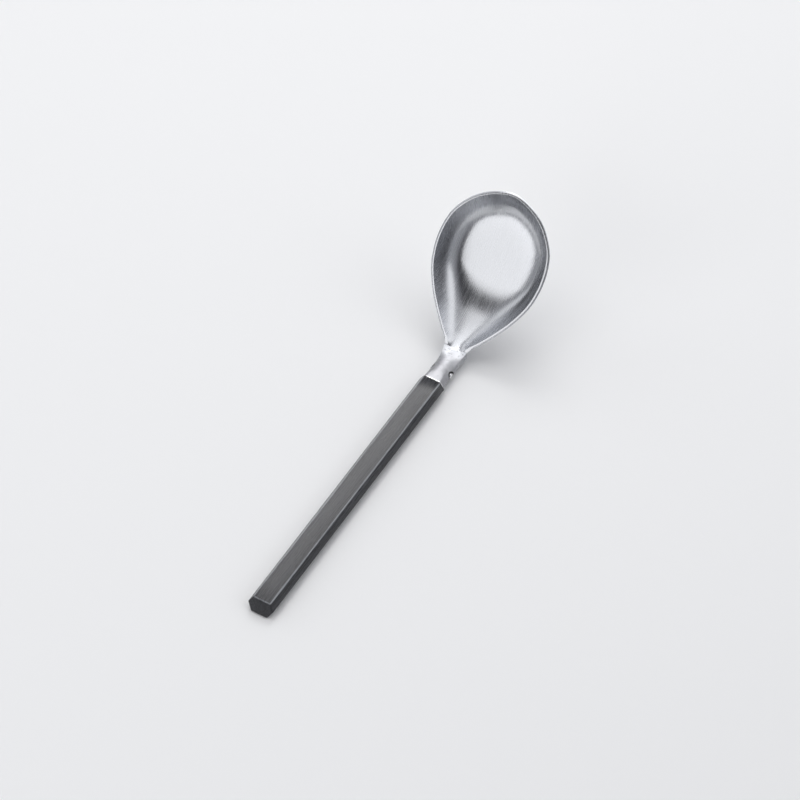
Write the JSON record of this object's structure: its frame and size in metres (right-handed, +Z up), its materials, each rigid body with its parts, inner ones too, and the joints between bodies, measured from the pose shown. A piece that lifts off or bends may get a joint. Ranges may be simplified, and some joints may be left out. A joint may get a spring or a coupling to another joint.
{
  "type": "serving spoon",
  "caption": "Serving spoon with a rounded, cranked steel bowl on a short tube socket, and a slim six-sided dark wooden handle held in it by a cross pin.",
  "frame": {"origin": "middle of the handle's flat underside, halfway along its top facet", "axes": "+Y along the handle towards the bowl, +Z up, out of the handle's top facet, +X across the spoon"},
  "size_m": [0.046, 0.1852, 0.0519],
  "materials": {
    "bowl_steel": "satin",
    "socket_steel": "satin",
    "handle_wood": "satin",
    "pin_steel": "satin"
  },
  "bodies": {
    "root": {"bowl": "bowl_steel", "socket": "socket_steel", "handle": "handle_wood", "cross_pin": "pin_steel"}
  },
  "joints": []
}
